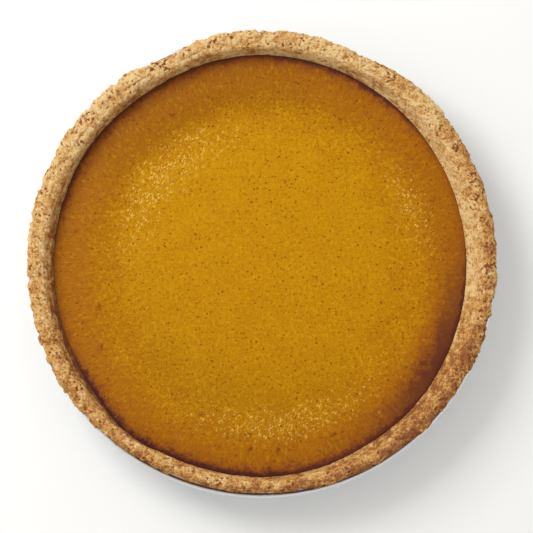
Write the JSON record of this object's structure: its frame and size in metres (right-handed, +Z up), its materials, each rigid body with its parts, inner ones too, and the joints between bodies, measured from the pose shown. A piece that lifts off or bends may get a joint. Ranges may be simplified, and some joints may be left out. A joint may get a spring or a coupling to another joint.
{
  "type": "pumpkin pie in a foil tin",
  "caption": "Round uncut pumpkin pie: smooth amber custard filling set below a thick uneven shortcrust rim, in its own shallow foil tin.",
  "frame": {"origin": "centre of the tin's flat base, on the surface that the tin stands on", "axes": "+Z up through the middle of the pie, +X to the right, +Y away from the viewer"},
  "size_m": [0.3069, 0.3067, 0.0393],
  "materials": {
    "foil": "bright pressed foil",
    "shortcrust": "dry crumbly baked shortcrust",
    "pumpkin_custard": "satin set custard skin, browned towards the edge"
  },
  "bodies": {
    "root": {"tin": "foil", "crust": "shortcrust", "filling": "pumpkin_custard"}
  },
  "joints": []
}
